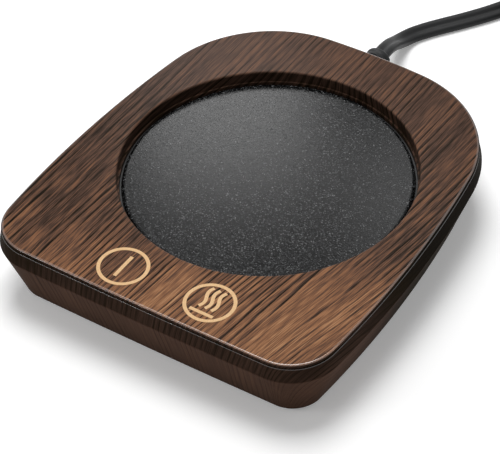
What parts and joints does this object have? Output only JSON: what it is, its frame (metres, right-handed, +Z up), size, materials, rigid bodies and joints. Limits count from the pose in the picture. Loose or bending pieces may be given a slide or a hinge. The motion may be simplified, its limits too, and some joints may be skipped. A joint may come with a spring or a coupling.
{
  "type": "mug warmer",
  "caption": "Low desktop warming plate: a flat case with bowed sides, a round well with a hot plate for a mug, touch keys in front and a mains lead at the back.",
  "frame": {"origin": "middle of the case's plan at table level, under the feet", "axes": "+Z up, -Y towards the touch keys, +Y towards the lead's exit, +X to the right as seen from the keys"},
  "size_m": [0.1658, 0.2584, 0.0266],
  "materials": {
    "woodgrain_cover": "glossy walnut-grain film over a moulded cover",
    "woodgrain_housing": "glossy dark walnut-grain film over the lower housing",
    "key_print": "flat gold print",
    "plate_coating": "satin charcoal heat-proof coating with fine sparkle",
    "silicone": "matte black silicone",
    "heater_foil": "amber polyimide film with an etched heating track",
    "fibre_pad": "white needled ceramic-fibre felt",
    "zinc_steel": "zinc-plated stamped steel",
    "thermistor_bead": "dipped epoxy bead",
    "fuse_ceramic": "ivory ceramic body",
    "board_laminate": "green solder-masked laminate",
    "capacitor_box": "yellow moulded box",
    "capacitor_can": "sleeved aluminium can",
    "chip_epoxy": "black moulded epoxy",
    "heat_sink_alloy": "extruded aluminium",
    "white_nylon": "white moulded nylon",
    "spring_brass": "gold-plated spring wire",
    "light_lens": "clear moulded lens",
    "wire_black": "black PVC insulation",
    "wire_white": "white glass-fibre sleeve",
    "wire_red": "red PVC insulation",
    "foot_rubber": "matte black rubber",
    "black_pvc": "satin black moulded PVC",
    "blade_metal": "nickel-plated brass"
  },
  "bodies": {
    "root": {"top_cover": "woodgrain_cover", "bottom_housing": "woodgrain_housing", "power_key": "key_print", "heat_key": "key_print", "hot_plate": "plate_coating", "plate_seal": "silicone", "heater_film": "heater_foil", "insulation_pad": "fibre_pad", "clamp_plate": "zinc_steel", "clamp_screws": "zinc_steel", "thermistor": "thermistor_bead", "thermistor_clip": "zinc_steel", "thermal_fuse": "fuse_ceramic", "fuse_clip": "zinc_steel", "control_board": "board_laminate", "board_screws": "zinc_steel", "film_capacitor": "capacitor_box", "bulk_capacitor": "capacitor_can", "triac": "chip_epoxy", "heat_sink": "heat_sink_alloy", "controller_chip": "chip_epoxy", "wire_terminals": "white_nylon", "touch_springs": "spring_brass", "indicator_lights": "light_lens", "mains_wires": "wire_black", "heater_wires": "wire_white", "sensor_wires": "wire_red", "cord_clamp": "white_nylon", "cord_clamp_screws": "zinc_steel", "case_screws": "zinc_steel", "rubber_feet": "foot_rubber", "strain_relief": "black_pvc", "cord_lead": "black_pvc", "cord_coil": "black_pvc", "coil_tie": "black_pvc", "cord_tail": "black_pvc", "plug_body": "black_pvc", "plug_blades": "blade_metal"}
  },
  "joints": []
}
